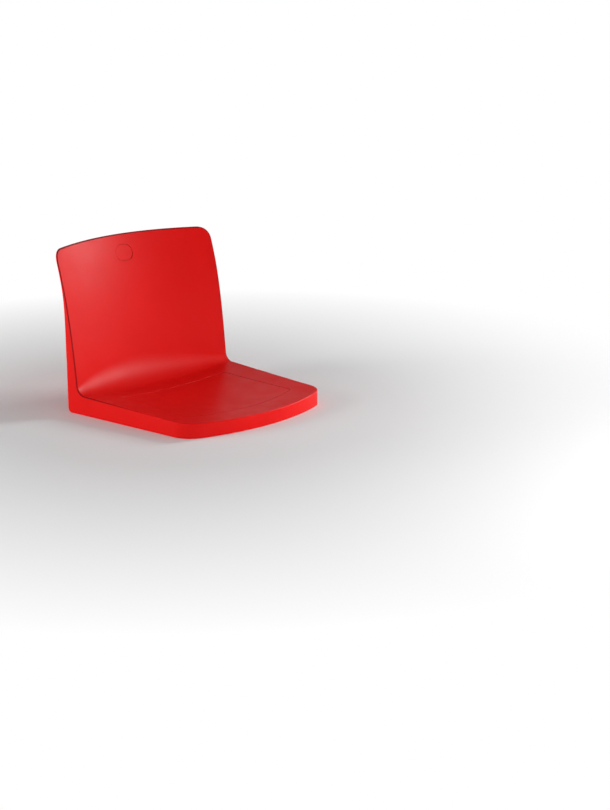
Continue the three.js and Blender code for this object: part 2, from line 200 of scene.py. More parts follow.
# a closed line from its right half: half the front edge, the right side, half the far edge
def mirrorLoop(frontHalf, right, farHalf):
    mirror = np.array([-1, 1])
    front = np.vstack([frontHalf[::-1] * mirror, frontHalf[1:]])
    far = np.vstack([farHalf, farHalf[::-1][1:] * mirror])
    left = right[::-1] * mirror
    return np.vstack([front[:-1], right[:-1], far[:-1], left[:-1]])


# the rim as a closed line of (x, along), counter-clockwise from the front left corner
def rimLoop():
    middle = mesher["cornerSteps"]
    bow = form["frontBow"] / halfFront ** 2
    x = np.linspace(0, cornerTurn, mesher["edgePoints"])
    middleFront = np.stack([x, bow * x ** 2], -1)
    frontHalf = np.vstack([middleFront[:-1], cornerLine[:middle + 1]])
    frontHalf[:, 1] = alongFromReach(frontHalf[:, 0], frontHalf[:, 1])
    lowCorner = cornerLine[middle:].copy()
    lowCorner[:, 1] = alongFromReach(lowCorner[:, 0], lowCorner[:, 1])

    topTurn = halfBack - form["topCorner"]
    topSlope = 2 * form["topCrown"] * topTurn / halfBack ** 2
    topEnd = form["topHeight"] + form["topCrown"] * middleShare(topTurn)
    cornerZ = topEnd - topSlope * form["topCorner"]
    upper = quadratic((halfBack, cornerZ - form["topCorner"]), (halfBack, cornerZ), (topTurn, topEnd),
                      cornerShares)
    x = np.linspace(topTurn, 0, mesher["edgePoints"])
    middleTop = np.stack([x, form["topHeight"] + form["topCrown"] * middleShare(x)], -1)
    upper[:, 1] = alongFromHeight(upper[:, 0], upper[:, 1])
    middleTop[:, 1] = alongFromHeight(middleTop[:, 0], middleTop[:, 1])

    along = np.linspace(lowCorner[-1, 1], upper[0, 1], mesher["sidePoints"])
    wide = np.full(len(along), halfBack)
    for _ in range(mesher["fitRounds"]):
        wide = halfWidthAt(sitting(wide, along)[:, 1] - frontY)
    side = np.stack([wide, along], -1)
    right = spread(np.vstack([lowCorner, side[1:-1], upper[:middle + 1]]), mesher["rows"])
    farHalf = spread(np.vstack([upper[middle:], middleTop[1:]]), mesher["columns"] // 2)
    return mirrorLoop(spread(frontHalf, mesher["columns"] // 2), right, farHalf)


# fills a closed line with a grid of points
def patch(loop, columns, rows):
    closed = np.vstack([loop, loop[:1]])
    front = closed[:columns + 1]
    right = closed[columns:columns + rows + 1]
    top = closed[columns + rows:2 * columns + rows + 1][::-1]
    left = closed[2 * columns + rows:][::-1]
    u = np.linspace(0, 1, columns + 1)[None, :, None]
    v = np.linspace(0, 1, rows + 1)[:, None, None]
    sides = (1 - v) * front[None] + v * top[None] + (1 - u) * left[:, None] + u * right[:, None]
    corners = (1 - u) * (1 - v) * front[0] + u * (1 - v) * front[-1]
    return sides - corners - (1 - u) * v * top[0] - u * v * top[-1]


# the numbers of a grid's points round its edge, in the closed line's order
def gridEdge(columns, rows):
    wide = columns + 1
    front = list(range(columns))
    right = [r * wide + columns for r in range(rows)]
    top = [rows * wide + c for c in range(columns, 0, -1)]
    left = [r * wide for r in range(rows, 0, -1)]
    return front + right + top + left


def placed(name, data):
    piece = bpy.data.objects.new(name, data)
    bpy.context.scene.collection.objects.link(piece)
    return piece


def fromPoints(name, points, faces):
    mesh = bpy.data.meshes.new(name)
    mesh.from_pydata([tuple(p) for p in np.asarray(points) * mm], [], faces)
    mesh.validate()
    return placed(name, mesh)


def fromEdited(name, edited):
    mesh = bpy.data.meshes.new(name)
    edited.to_mesh(mesh)
    edited.free()
    return placed(name, mesh)


# a closed body from an upper grid, rings of points round its edge and a lower grid
def closedBody(name, upper, rings, lower, columns, rows):
    edge = gridEdge(columns, rows)
    size = (columns + 1) * (rows + 1)
    points = [upper.reshape(-1, 3), *rings, lower.reshape(-1, 3)]
    faces = []
    for r in range(rows):
        for c in range(columns):
            a = r * (columns + 1) + c
            quad = (a, a + 1, a + columns + 2, a + columns + 1)
            faces.append(quad)
            faces.append(tuple(i + size + len(edge) * len(rings) for i in reversed(quad)))
    loops = [edge]
    for k in range(len(rings)):
        loops.append([size + k * len(edge) + i for i in range(len(edge))])
    loops.append([i + size + len(edge) * len(rings) for i in edge])
    for high, low in zip(loops, loops[1:]):
        for i in range(len(edge)):
            j = (i + 1) % len(edge)
            faces.append((high[i], low[i], low[j], high[j]))
    return fromPoints(name, np.vstack(points), faces)


# the closed line's direction at each point
def loopTangent(points):
    return unit(np.roll(points, -1, axis=0) - np.roll(points, 1, axis=0))


# moves places of the sitting surface towards the middle by a distance
def moveIn(places, inward, distance):
    across, onward, _ = surfaceFrame(places[:, 0], places[:, 1])
    wide, far, skew = dot(across, across), dot(onward, onward), dot(across, onward)
    inAcross, inOnward = dot(across, inward), dot(onward, inward)
    area = wide * far - skew ** 2
    moveX, moveAlong = inAcross * far - inOnward * skew, inOnward * wide - inAcross * skew
    return places + distance * np.stack([moveX / area, moveAlong / area], -1)


# where on the side the skirt's foot starts to run ahead of the rim, and the height where it is level again
flange = {"startReach": 235, "levelHeight": 120, "cornerPoints": 15, "sidePoints": 60}


# where each rim point's skirt or flange ends: on the step, or at the rear edge
def freeEdge(places, rim):
    columns, rows = mesher["columns"], mesher["rows"]
    ends = rim.copy()
    top = slice(columns + rows, 2 * columns + rows)
    ends[:columns + 1, 2] = 0
    ends[top, 1] = rearLine(rim[top, 0], rim[top, 2]) + frontY
    right = np.arange(columns, columns + rows + 1)
    reach, z = rim[right, 1] - frontY, rim[right, 2]
    first = int(np.searchsorted(reach, flange["startReach"]))
    last = int(np.argmax((z > flange["levelHeight"]) & (places[right, 1] > 2)))
    run = np.concatenate([[0], np.cumsum(np.linalg.norm(np.diff(rim[right], axis=0), axis=1))])
    share = (run[first:last + 1] - run[first]) / (run[last] - run[first])
    angles = np.linspace(0, math.pi / 2, flange["cornerPoints"])[1:]
    heights = np.concatenate([[0] * 2, form["skirtCorner"] * (1 - np.cos(angles)),
                              np.linspace(form["skirtCorner"], z[last], flange["sidePoints"])[1:]])
    route = np.stack([rearLine(halfBack, heights), heights], -1)
    route[0] = (reach[first], 0)
    route[1, 0] = form["skirtReach"] - form["skirtCorner"]
    length = np.concatenate([[0], np.cumsum(np.linalg.norm(np.diff(route, axis=0), axis=1))])
    endReach = reach.copy()
    endZ = np.zeros(len(right))
    endReach[first:last + 1] = np.interp(share * length[-1], length, route[:, 0])
    endZ[first:last + 1] = np.interp(share * length[-1], length, route[:, 1])
    endZ[last:] = z[last:]
    endReach[last:] = rearLine(rim[right[last:], 0], z[last:])
    endX = rim[right, 0] + halfWidthAt(endReach) - halfWidthAt(reach)
    ends[right] = np.stack([endX, endReach + frontY, endZ], -1)
    leftSide = np.concatenate([np.arange(2 * columns + rows, 2 * (columns + rows)), [0]])
    ends[leftSide] = (ends[right] * np.array([-1, 1, 1]))[::-1]
    return ends


# rings of points on a rounded edge, without its ends
def arc(a, corner, b, count):
    t = (np.arange(1, count) / count)[:, None, None]
    b1, b2 = a + (corner - a) * mesher["handle"], b + (corner - b) * mesher["handle"]
    return list((1 - t) ** 3 * a + 3 * (1 - t) ** 2 * t * b1 + 3 * (1 - t) * t ** 2 * b2 + t ** 3 * b)


def between(a, b, count):
    return [a + (b - a) * k / count for k in range(1, count)]


# the bare moulding: sitting surface, rounded rim, skirt and flanges, and the hollow side
def shellBody():
    columns, rows, wall = mesher["columns"], mesher["rows"], mesher["wall"]
    places = rimLoop()
    rim = sitting(places[:, 0], places[:, 1])
    normal = surfaceFrame(places[:, 0], places[:, 1])[2]
    tangent = loopTangent(rim)
    inward = unit(np.cross(normal, tangent))
    ends = freeEdge(places, rim)
    endTangent = loopTangent(ends)
    down = unit(ends - rim)
    down = unit(down - tangent * (down * tangent).sum(-1, keepdims=True))
    endIn = unit(np.cross(endTangent, down))
    endOut = unit(np.cross(endIn, endTangent))

    outerPlaces = moveIn(places, inward, mesher["rimRound"])
    start = sitting(outerPlaces[:, 0], outerPlaces[:, 1])
    finish = rim + down * mesher["rimRound"]
    edgeRound, innerRound = mesher["edgeRound"], mesher["innerRound"]
    lowOuter = ends - endOut * edgeRound
    lowInner = ends + endIn * wall - endOut * innerRound
    innerPlaces = moveIn(places, inward, wall)
    innerRim = behind(innerPlaces[:, 0], innerPlaces[:, 1], np.full(len(places), wall))

    footOuter, footInner = ends + endIn * edgeRound, ends + endIn * (wall - innerRound)
    rings = arc(start, rim, finish, mesher["rimSteps"]) + [finish]
    rings += between(finish, lowOuter, mesher["skirtSteps"]) + [lowOuter]
    rings += arc(lowOuter, ends, footOuter, mesher["edgeSteps"]) + [footOuter, footInner]
    rings += arc(footInner, ends + endIn * wall, lowInner, mesher["innerSteps"]) + [lowInner]
    rings += between(lowInner, innerRim, mesher["wallSteps"])
    outerGrid = patch(outerPlaces, columns, rows)
    innerGrid = patch(innerPlaces, columns, rows)
    upper = sitting(outerGrid[..., 0], outerGrid[..., 1])
    lower = behind(innerGrid[..., 0], innerGrid[..., 1], np.full(innerGrid.shape[:2], wall))
    return closedBody("seatShellSkin", upper, rings, lower, columns, rows), rim


# the points of an outline, grown by a distance and moved back into the moulding by a depth
def ringPoints(line, along, grow, depth):
    places = line(grow)
    return behind(places[:, 0], along(places[:, 0], places[:, 1]), np.full(len(places), depth))


# a curved plate that follows the sitting surface, from its outline and its edge's (grow, depth) rings
def platedBody(name, line, along, edge, columns, rows):
    def grid(grow, depth):
        places = patch(line(grow), columns, rows)
        x, onward = places[..., 0], along(places[..., 0], places[..., 1])
        return behind(x, onward, np.full(places.shape[:2], depth))

    rings = [ringPoints(line, along, *step) for step in edge[1:-1]]
    return closedBody(name, grid(*edge[0]), rings, grid(*edge[-1]), columns, rows)


# bodies of revolution from one (radius, height) profile, on upright axes or on axes along Y
def turnedBody(name, profile, places, segments, lying=False):
    points, faces = [], []
    angles = np.linspace(0, 2 * math.pi, segments, endpoint=False)
    for place in places:
        start = len(points)
        points.append((0, 0, profile[0][1]))
        for r, z in profile[1:-1]:
            points += [(r * math.cos(a), r * math.sin(a), z) for a in angles]
        points.append((0, 0, profile[-1][1]))
        last = len(points) - 1
        for k in range(len(profile) - 3):
            for i in range(segments):
                j = (i + 1) % segments
                low, high = start + 1 + k * segments, start + 1 + (k + 1) * segments
                faces.append((low + i, low + j, high + j, high + i))
        for i in range(segments):
            j = (i + 1) % segments
            faces.append((start, start + 1 + j, start + 1 + i))
            faces.append((last, last - segments + i, last - segments + j))
        for k in range(start, len(points)):
            x, y, z = points[k]
            points[k] = np.array((x, z, -y) if lying else (x, y, z)) + place
    return fromPoints(name, points, faces)


# boxes by their lowest and highest corners, with their edges softened where asked
def boxBodies(name, corners, soften=0):
    mesh = bmesh.new()
    for low, high in corners:
        size = np.array(high) - np.array(low)
        middle = Vector((np.array(high) + np.array(low)) / 2 * mm)
        made = bmesh.ops.create_cube(mesh, size=1)
        for v in made["verts"]:
            v.co = Vector(np.array(v.co) * size * mm) + middle
    if soften:
        bmesh.ops.bevel(mesh, geom=mesh.edges[:], offset=soften * mm, segments=2, affect="EDGES")
    return fromEdited(name, mesh)


# flat ribs: each a closed outline of 3D points and the offset to its other face
def ribBodies(name, ribs):
    mesh = bmesh.new()
    for outline, offset in ribs:
        near = [mesh.verts.new(Vector(p * mm)) for p in outline]
        far = [mesh.verts.new(Vector((p + offset) * mm)) for p in outline]
        mesh.faces.new(near)
        mesh.faces.new(far[::-1])
        for i in range(len(near)):
            j = (i + 1) % len(near)
            mesh.faces.new((near[j], near[i], far[i], far[j]))
    bmesh.ops.recalc_face_normals(mesh, faces=mesh.faces[:])
    return fromEdited(name, mesh)


# joins a tool body to a piece, or cuts it away
def combine(piece, tool, operation):
    step = piece.modifiers.new("combine", "BOOLEAN")
    step.operation, step.object, step.solver = operation, tool, "MANIFOLD"
    depsgraph = bpy.context.evaluated_depsgraph_get()
    data = bpy.data.meshes.new_from_object(piece.evaluated_get(depsgraph))
    piece.modifiers.clear()
    piece.data = data
    bpy.data.objects.remove(tool)


def smooth(piece):
    piece.data.shade_smooth()
    piece.data.set_sharp_from_angle(angle=math.radians(mesher["sharpAngle"]))
    weighted = piece.modifiers.new("normals", "WEIGHTED_NORMAL")
    weighted.keep_sharp = True


# The edges are (grow, depth) steps, counted from the outline and from the sitting surface
cover = {
    "width": 312, "setback": 64, "end": 300, "corner": 12, "thickness": 3, "gap": 0.8, "rest": 0.3,
    "clipWidth": 10, "clipThickness": 1.8, "clipDrop": 6, "clipInset": 7, "clipPlaces": (112, 252),
    "clipGap": 0.5, "clipRound": 0.3, "cornerSteps": 4, "frontSteps": 28, "sideSteps": 40,
    "fuller": 0.3, "lie": (-0.25, 0.2), "tint": 0.985, "lowerRound": 0.35,
    "edge": ((-0.6, 0), (-0.25, 0.06), (-0.06, 0.22), (0, 0.55)),
    "recessEdge": ((0.9, -9), (0.9, -0.45), (0.12, 0.33), (0, 0.7)),
    "recessFloorTop": 2, "recessFloorRound": 1,
}


def coverLine(grow):
    side, rear, corner = cover["width"] / 2 + grow, cover["end"] + grow, cover["corner"]
    bow = form["frontBow"] / halfFront ** 2
    turn = side - corner
    start = cover["setback"] - grow
    cornerY = start + bow * turn ** 2 + 2 * bow * turn * corner
    share = np.linspace(0, 1, 2 * cover["cornerSteps"] + 1)
    near = quadratic((turn, start + bow * turn ** 2), (side, cornerY), (side, cornerY + corner), share)
    far = quadratic((side, rear - corner), (side, rear), (turn, rear), share)
    x = np.linspace(0, turn, cover["frontSteps"] + 1)
    half = cover["cornerSteps"]
    front = np.vstack([np.stack([x, start + bow * x ** 2], -1)[:-1], near[:half + 1]])
    y = np.linspace(cornerY + corner, rear - corner, cover["sideSteps"] + 1)[1:-1]
    right = np.vstack([near[half:], np.stack([np.full(len(y), side), y], -1), far[:half + 1]])
    top = np.vstack([far[half:], np.stack([x[::-1], np.full(len(x), rear)], -1)[1:]])
    return mirrorLoop(front, right, top)


coverColumns = 2 * (cover["frontSteps"] + cover["cornerSteps"])
coverRows = cover["sideSteps"] + 2 * cover["cornerSteps"]
clipX = cover["width"] / 2 - cover["clipInset"]
clips = [(x, frontY + reach) for x in (-clipX, clipX) for reach in cover["clipPlaces"]]

plate = {
    "length": 46, "height": 33, "thickness": 1.5, "drop": 40, "gap": 0.8, "rest": 0.3,
    "pegRadius": 2, "pegSpacing": 20, "pegReach": 5.4, "pegRound": 0.6, "pegGap": 0.25,
    "straightSteps": 5, "arcSteps": 9, "fuller": 0.25, "lie": (-0.5, 0), "tint": 1.01,
    "lowerRound": 0.2, "edge": ((-0.22, 0), (-0.08, 0.03), (-0.02, 0.09), (0, 0.22)),
    "recessEdge": ((0.3, -6), (0.3, -0.12), (0.04, 0.14), (0, 0.35)),
}
plateZ = form["topHeight"] + form["topCrown"] - plate["drop"]


def plateLine(grow):
    radius, straight = plate["height"] / 2 + grow, (plate["length"] - plate["height"]) / 2

    def turn(first, last, count):
        angle = np.radians(np.linspace(first, last, count + 1))
        return np.stack([straight + radius * np.cos(angle), plateZ + radius * np.sin(angle)], -1)

    x = np.linspace(0, straight, plate["straightSteps"] + 1)[:-1]
    low = np.stack([x, np.full(len(x), plateZ - radius)], -1)
    high = np.stack([x[::-1], np.full(len(x), plateZ + radius)], -1)
    steps = plate["arcSteps"]
    return mirrorLoop(np.vstack([low, turn(-90, -45, steps)]), turn(-45, 45, 2 * steps),
                      np.vstack([turn(45, 90, steps), high]))


plateColumns = 2 * (plate["straightSteps"] + plate["arcSteps"])
plateRows = 2 * plate["arcSteps"]
plateFace = frontY + float(backLine(0.0, plateZ))
pegPlaces = [np.array((x, 0, plateZ)) for x in (-plate["pegSpacing"] / 2, plate["pegSpacing"] / 2)]

underside = {
    "ribWall": 2.6, "ribFoot": 0.6, "along": (0, 60, -60, 178, -178), "across": (62, 166, 274),
    "gussetLow": 120, "gussetHigh": 205, "railSpacing": 230, "railHalf": 35.8, "railFront": 86.2,
    "railEnd": 337.8, "railTop": 13.3, "wellRadius": 12.5, "wellWall": 3, "wellFloor": 3.5,
    "wellSunk": 1.7, "wellRound": 0.5, "boreRound": 0.6, "mouthWider": 0.7, "mouthLow": 0.5,
    "mouthHigh": 0.2, "studHole": 5.5, "studPlaces": (132, 252), "sunk": 2.2, "rearSunk": 0.05,
    "gussetSure": 80, "alongPoints": 120, "acrossPoints": 70, "roomDepth": 20, "boreOver": 8,
    "holeUnder": 5, "holeOver": 2,
}
studs = [(x, frontY + reach) for x in (-underside["railSpacing"] / 2, underside["railSpacing"] / 2)
         for reach in underside["studPlaces"]]


# a rib along the pan, which runs on up the back as a gusset
def ribAlong(x):
    foot, count, low = underside["ribFoot"], underside["alongPoints"], underside["gussetLow"]
    start = form["frontBow"] * (x / halfFront) ** 2 + mesher["wall"] / 2
    z = np.linspace(foot, underside["gussetHigh"], count)
    fall = (form["skirtReach"] + form["foldHollow"] - form["foldReach"]) / (underside["gussetHigh"] - low)
    slant = form["skirtReach"] + form["foldHollow"] - np.maximum(z - low, 0) * fall
    rear = np.minimum(rearLine(x, z), slant) - underside["rearSunk"]
    keep = rear > backLine(x, z) + underside["sunk"]
    last = int(np.argmin(keep | (z < underside["gussetSure"])))
    along = np.linspace(alongFromHeight(x, z[last - 1]), alongFromReach(x, start), count)
    top = behind(np.full(count, x), along, np.full(count, underside["sunk"]))
    back = np.stack([np.full(last, x), rear[:last] + frontY, z[:last]], -1)
    outline = np.vstack([[(x, start + frontY, foot)], back, top]) - (underside["ribWall"] / 2, 0, 0)
    return outline, np.array((underside["ribWall"], 0, 0))


# a rib from side to side under the pan
def ribAcross(reach):
    side, count = float(halfWidthAt(reach)) - mesher["wall"] / 2, underside["acrossPoints"]
    x = np.linspace(side, -side, count)
    top = behind(x, alongFromReach(x, reach), np.full(count, underside["sunk"]))
    top[:, 1] = reach + frontY
    foot = np.array([(x, reach + frontY, underside["ribFoot"]) for x in (-side, side)])
    return np.vstack([foot, top]), np.array((0, underside["ribWall"], 0))


# how high the pan is over a place on the step
def panHeight(x, y):
    return float(sitting(x, alongFromReach(x, y - frontY))[2])


def vertexPlaces(piece):
    places = np.empty(3 * len(piece.data.vertices))
    piece.data.vertices.foreach_get("co", places)
    return places.reshape(-1, 3) / mm


# keeps a piece within a width, for the few points that stand past it by a hair
def holdWidth(piece, half):
    places = vertexPlaces(piece)
    places[:, 0] = np.clip(places[:, 0], -half, half)
    piece.data.vertices.foreach_set("co", (places * mm).ravel())


# finds the nearest of a list of points
def nearest(line):
    tree = KDTree(len(line))
    for i, place in enumerate(line):
        tree.insert(place, i)
    tree.balance()
    return tree


def keepValues(piece, name, values):
    piece.data.attributes.new(name, "FLOAT", "POINT").data.foreach_set("value", values)


# The rim's painted shade: a darker line painted along the rim where its edge is in shade; it fades in
# between two Y in mm, and its width is in metres
rimShadeLine = {
    "fade": (-90, 90), "full": 0.0014, "end": 0.0034, "depth": 0.85, "tone": (0.2, 0.001, 0.003),
    "finer": 6,
}


# keeps each point's distance to the rim, and how much of the rim's painted shade line it shows
def rimDistances(piece, rim):
    share = (np.arange(rimShadeLine["finer"]) / rimShadeLine["finer"])[None, :, None]
    line = (rim[:, None] * (1 - share) + np.roll(rim, -1, axis=0)[:, None] * share).reshape(-1, 3)
    tree = nearest(line)
    places = vertexPlaces(piece)
    keepValues(piece, "rimDistance", [tree.find(place)[2] * mm for place in places])
    keepValues(piece, "rimShadeShown", np.interp(places[:, 1], rimShadeLine["fade"], (0, 1)))


# an outline as its piece lies in its recess, a little fuller and to one side
def lying(line, piece):
    return lambda grow: line(grow + piece["fuller"]) + np.array(piece["lie"])


# Painted shade in the gaps round the cover and plate: gaps up to closed stay pale, and gaps from open on
# are darkest (near, closed and open in mm)
gapShade = {"near": 0.05, "closed": 0.25, "open": 0.8, "depth": 0.92}


# how dark the painted gap shade round a piece is at each point of its outline: the wider, the darker
def gapDark(line, piece):
    width = np.linalg.norm(line(piece["gap"]) - lying(line, piece)(0), axis=1)
    return np.interp(width, (gapShade["closed"], gapShade["open"]), (0, 1))


# keeps how dark the painted gap shade is on the upper edges of its walls, given as pairs of points and
# darkness
def markGaps(piece, edges):
    dark = np.concatenate([dark for _, dark in edges])
    tree = nearest(np.vstack([ring for ring, _ in edges]))
    marked = []
    for place in vertexPlaces(piece):
        _, i, distance = tree.find(place)
        marked.append(dark[i] if distance < gapShade["near"] else 0)
    keepValues(piece, "gapShadeEdge", marked)


# the (grow, depth) steps of a piece's own edge, and of its recess
def bodySteps(piece):
    thick, lower = piece["thickness"], piece["lowerRound"]
    return [*piece["edge"], (0, thick - lower), (-lower, thick)]


def recessSteps(piece):
    steps = [(piece["gap"] + grow, depth) for grow, depth in piece["recessEdge"]]
    return [*steps, (piece["gap"], piece["thickness"] + piece["rest"])]


# cuts a piece's recess, and gives the points of its edge that get painted gap shade
def cutRecess(shell, name, line, along, piece, columns, rows):
    steps = recessSteps(piece)
    combine(shell, platedBody(name, line, along, steps, columns, rows), "DIFFERENCE")
    return [(ringPoints(line, along, *step), gapDark(line, piece)) for step in steps[-3:-1]]


coverDepth = cover["thickness"] + cover["rest"]  # down to the recess's floor


# the recess's floor, the ribs and the walls of the wells
def joinUnderside(shell):
    pad, edge = cover["gap"] + mesher["wall"], cover["recessFloorRound"]
    low = coverDepth + mesher["wall"]
    steps = [(pad, cover["recessFloorTop"]), (pad, low - edge), (pad - edge, low)]
    floor = platedBody("recessFloor", coverLine, alongFromReach, steps, coverColumns, coverRows)
    combine(shell, floor, "UNION")
    combine(shell, ribBodies("ribsAlong", [ribAlong(x) for x in underside["along"]]), "UNION")
    combine(shell, ribBodies("ribsAcross", [ribAcross(reach) for reach in underside["across"]]), "UNION")
    lowest, edge = underside["railTop"], underside["wellRound"]
    outer = underside["wellRadius"] + underside["wellWall"]
    for x, y in studs:
        top = panHeight(x, y) - coverDepth - underside["wellSunk"]
        wall = [(0, lowest), (outer - edge, lowest), (outer, lowest + edge), (outer, top), (0, top)]
        combine(shell, turnedBody("well", wall, [np.array((x, y, 0))], mesher["wellSegments"]), "UNION")
    print("ribs and wells joined")


# room for a rail under each pair of wells
def cutRailRooms(shell):
    half, spacing = underside["railHalf"], underside["railSpacing"] / 2
    front, end = frontY + underside["railFront"], frontY + underside["railEnd"]
    rooms = [((x - half, front, -underside["roomDepth"]), (x + half, end, underside["railTop"]))
             for x in (-spacing, spacing)]
    combine(shell, boxBodies("railRooms", rooms), "DIFFERENCE")


# each well's bore, with its wider mouth, and the hole for its stud
def cutWells(shell):
    well, radius = underside["wellRadius"], underside["studHole"]
    bottom = underside["railTop"] + underside["wellFloor"]
    mouth, edge = well + underside["mouthWider"], underside["boreRound"]
    for x, y in studs:
        floorZ = panHeight(x, y) - coverDepth
        mouthLow, mouthHigh = floorZ - underside["mouthLow"], floorZ + underside["mouthHigh"]
        top = floorZ + underside["boreOver"]
        bore = [(0, bottom), (well - edge, bottom), (well, bottom + edge), (well, mouthLow),
                (mouth, mouthHigh), (mouth, top), (0, top)]
        place = [np.array((x, y, 0))]
        combine(shell, turnedBody("wellBore", bore, place, mesher["wellSegments"]), "DIFFERENCE")
        low, high = -underside["holeUnder"], bottom + underside["holeOver"]
        hole = [(0, low), (radius, low), (radius, high), (0, high)]
        combine(shell, turnedBody("studHole", hole, place, mesher["holeSegments"]), "DIFFERENCE")


def cutClipSlots(shell):
    halfX = cover["clipThickness"] / 2 + cover["clipGap"]
    halfY = cover["clipWidth"] / 2 + cover["clipGap"]
    low, high = underside["railTop"], form["foldHeight"]
    slots = [((x - halfX, y - halfY, low), (x + halfX, y + halfY, high)) for x, y in clips]
    combine(shell, boxBodies("clipSlots", slots), "DIFFERENCE")


def cutPegHoles(shell):
    near = plateFace + plate["thickness"] / 2
    far = plateFace + plate["thickness"] + plate["pegReach"]
    radius = plate["pegRadius"] + plate["pegGap"]
    hole = [(0, near), (radius, near), (radius, far), (0, far)]
    holes = turnedBody("pegHoles", hole, pegPlaces, mesher["holeSegments"], lying=True)
    combine(shell, holes, "DIFFERENCE")


def shellPiece():
    shell, rim = shellBody()
    print("bare moulding:", len(shell.data.polygons), "faces")
    joinUnderside(shell)
    cutRailRooms(shell)
    marks = cutRecess(shell, "coverRecess", coverLine, alongFromReach, cover, coverColumns, coverRows)
    cutWells(shell)
    cutClipSlots(shell)
    marks += cutRecess(shell, "plateRecess", plateLine, alongFromHeight, plate, plateColumns, plateRows)
    cutPegHoles(shell)
    holdWidth(shell, halfBack)
    smooth(shell)
    rimDistances(shell, rim)
    markGaps(shell, marks)
    return shell


shell = shellPiece()
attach(shell, "seat")
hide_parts("seat_shell")
print("shell:", len(shell.data.polygons), "faces")


# a plate as it lies in its recess
def lyingPlate(name, line, along, piece, columns, rows):
    return platedBody(name, lying(line, piece), along, bodySteps(piece), columns, rows)


# smooths a plate, and paints gap shade on its upper edge where its gap is wide
def finishPlate(body, line, along, piece):
    smooth(body)
    markGaps(body, [(ringPoints(lying(line, piece), along, *piece["edge"][-1]), gapDark(line, piece))])


def coverPiece():
    thick = cover["thickness"]
    body = lyingPlate("panCoverSkin", coverLine, alongFromReach, cover, coverColumns, coverRows)
    halfX, halfY = cover["clipThickness"] / 2, cover["clipWidth"] / 2
    prongs = []
    for x, y in clips:
        under = panHeight(x, y) - thick
        low, high = under - cover["clipDrop"], under + thick / 2
        prongs.append(((x - halfX, y - halfY, low), (x + halfX, y + halfY, high)))
    combine(body, boxBodies("prongs", prongs, soften=cover["clipRound"]), "UNION")
    finishPlate(body, coverLine, alongFromReach, cover)
    return body


panCover = coverPiece()
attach(panCover, "cover")
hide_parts("pan_cover")


def platePiece():
    body = lyingPlate("numberPlateSkin", plateLine, alongFromHeight, plate, plateColumns, plateRows)
    near = plateFace + plate["thickness"] / 2
    far = plateFace + plate["thickness"] + plate["pegReach"]
    radius, edge = plate["pegRadius"], plate["pegRound"]
    peg = [(0, near), (radius, near), (radius, far - edge), (radius - edge, far), (0, far)]
    combine(body, turnedBody("pegs", peg, pegPlaces, mesher["holeSegments"], lying=True), "UNION")
    finishPlate(body, plateLine, alongFromHeight, plate)
    return body


numberPlate = platePiece()
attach(numberPlate, "seat")
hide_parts("number_plate")
print("cover and number plate made")


# a node material with its shader; further nodes are added by kind
class Nodes:
    def __init__(self, name):
        self.material = bpy.data.materials.new(name)
        self.material.use_nodes = True
        self.tree = self.material.node_tree
        self.shader = self.tree.nodes["Principled BSDF"]
        self.place = self.add("ShaderNodeTexCoord").outputs["Object"]

    def add(self, kind, **settings):
        node = self.tree.nodes.new(kind)
        for key, value in settings.items():
            setattr(node, key, value)
        return node

    def link(self, source, target):
        self.tree.links.new(source, target)

    def noise(self, scale, detail):
        node = self.add("ShaderNodeTexNoise")
        node.inputs["Scale"].default_value = scale
        node.inputs["Detail"].default_value = detail
        self.link(self.place, node.inputs["Vector"])
        return node.outputs["Fac"]

    def attribute(self, name):
        return self.add("ShaderNodeAttribute", attribute_name=name).outputs["Fac"]

    def calc(self, operation, first, second):
        node = self.add("ShaderNodeMath", operation=operation)
        self.link(first, node.inputs[0])
        self.link(second, node.inputs[1])
        return node.outputs[0]

    def ramp(self, value, low, high, first, last):
        node = self.add("ShaderNodeMapRange")
        for key, number in zip(("From Min", "From Max", "To Min", "To Max"), (low, high, first, last)):
            node.inputs[key].default_value = number
        self.link(value, node.inputs["Value"])
        return node.outputs["Result"]

    def blend(self, factor, first, second):
        node = self.add("ShaderNodeMix", data_type="RGBA")
        for socket, colour in ((node.inputs[6], first), (node.inputs[7], second)):  # its colours
            if isinstance(colour, tuple):
                socket.default_value = (*colour, 1)
            else:
                self.link(colour, socket)
        self.link(factor, node.inputs[0])
        return node.outputs[2]

    def bump(self, height, strength, distance, below=None):
        node = self.add("ShaderNodeBump")
        node.inputs["Strength"].default_value = strength
        node.inputs["Distance"].default_value = distance
        self.link(height, node.inputs["Height"])
        if below:
            self.link(below, node.inputs["Normal"])
        return node.outputs["Normal"]


# Noises are (scale, detail), and bumps are (strength, height in metres)
plastic = {
    "tone": (0.735, 0.0035, 0.0025), "deep": (0.70, 0.0028, 0.002), "patches": (7, 3),
    "patchRange": (0.35, 0.65), "specular": 0.2, "ior": 1.49, "rough": (0.4, 0.48), "wear": (26, 4),
    "wearRange": (0.3, 0.7), "flow": (11, 1), "flowBump": (0.1, 0.002), "grain": (1500, 2),
    "grainBump": (0.16, 0.00006),
}


